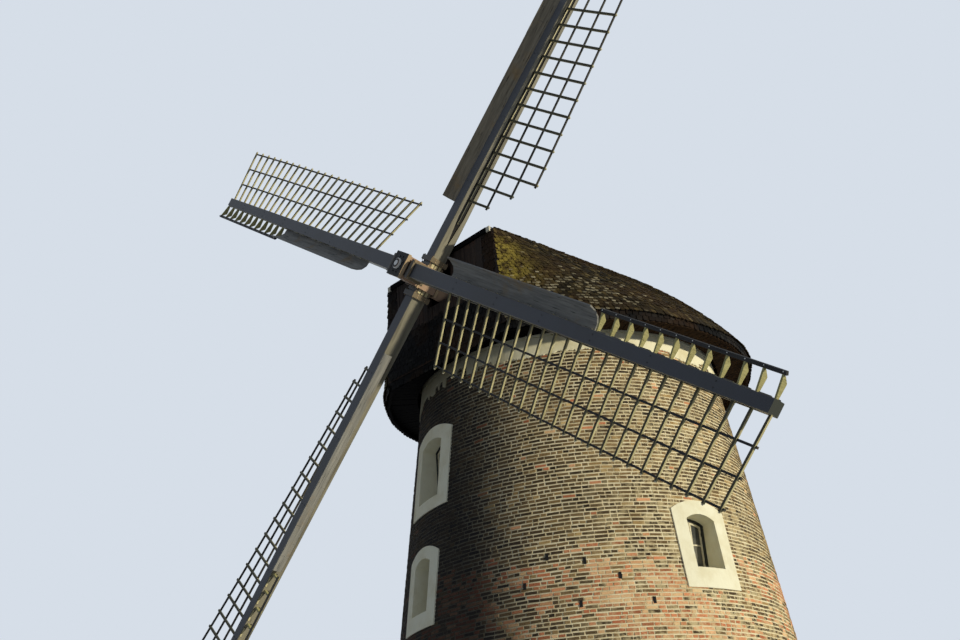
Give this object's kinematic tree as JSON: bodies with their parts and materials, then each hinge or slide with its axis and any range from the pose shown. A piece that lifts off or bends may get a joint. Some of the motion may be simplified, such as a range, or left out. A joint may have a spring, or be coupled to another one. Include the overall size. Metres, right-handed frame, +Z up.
{
  "type": "tower windmill",
  "caption": "Round tapered brick tower windmill with a turning boat-shaped shingled cap and four twisted lattice sails on two crossed stocks.",
  "frame": {"origin": "on the ground at the tower's axis", "axes": "+Z up; the sails face -Y with the cap at rest"},
  "size_m": [18.832, 11.1325, 23.6349],
  "materials": {
    "brick": "rough weathered brick with lime mortar",
    "plaster": "rough lime plaster, limewashed cream",
    "paving": "rough paving",
    "floor_boards": "worn bare boards",
    "painted_joinery": "dark painted joinery, satin",
    "door_paint": "dark painted boards, satin",
    "glass": "thin old window glass",
    "oak": "bare oak",
    "iron": "dull iron",
    "shingle": "weathered shingles with moss",
    "front_boarding": "dark weathered boards and shingles",
    "fascia_paint": "black painted board",
    "flashing": "dull sheet metal",
    "poll_iron": "painted cast iron, weathered",
    "shaft_wood": "bare oak",
    "stock_paint": "dark paint, satin",
    "wedge_paint": "cream painted wood",
    "sail_wood": "dark tarred wood",
    "edge_wood": "dark painted wood"
  },
  "bodies": {
    "tower": {"wall_back_column": "brick", "wall_left_column": "brick", "wall_pier_back_rear": "brick", "wall_pier_left_right": "brick", "wall_pier_rear_left": "brick", "wall_pier_right_back": "brick", "wall_rear_column": "brick", "wall_right_column": "brick", "window_surrounds": "plaster", "plaster_band": "plaster", "ground_floor": "paving", "first_floor": "floor_boards", "second_floor": "floor_boards", "third_floor": "floor_boards", "dust_floor": "floor_boards", "window_frames": "painted_joinery", "window_glass": "glass", "door_frames": "painted_joinery", "door_leaves": "door_paint", "curb_ring": "oak", "curb_track": "iron"},
    "cap": {"cap_ring": "oak", "sheer_beams": "oak", "outriggers": "oak", "weather_beam": "oak", "neck_bearing": "iron", "tail_beam": "oak", "tail_bearing": "iron", "front_wall": "front_boarding", "front_fascia": "fascia_paint", "eave_skirt": "front_boarding", "eave_soffit": "oak", "roof_left": "shingle", "roof_right": "shingle", "roof_rear": "shingle", "ridge_cap": "flashing"},
    "rotor": {"poll_end": "poll_iron", "windshaft": "shaft_wood", "stock_a": "stock_paint", "stock_b": "stock_paint", "stock_wedges": "wedge_paint", "sail_lattice_left": "sail_wood", "sail_lattice_lower": "sail_wood", "sail_lattice_right": "sail_wood", "sail_lattice_upper": "sail_wood", "wind_boards": "edge_wood", "leading_edges": "edge_wood"}
  },
  "joints": [
    {"name": "cap_turn", "type": "hinge", "parent": "tower", "child": "cap", "pos_m": [0, 0, 12.97], "axis": [0, 0, 1], "continuous": true},
    {"name": "sail_turn", "type": "hinge", "parent": "cap", "child": "rotor", "pos_m": [0, -4.56, 14.45], "axis": [0, -0.9823, 0.1874], "continuous": true}
  ]
}
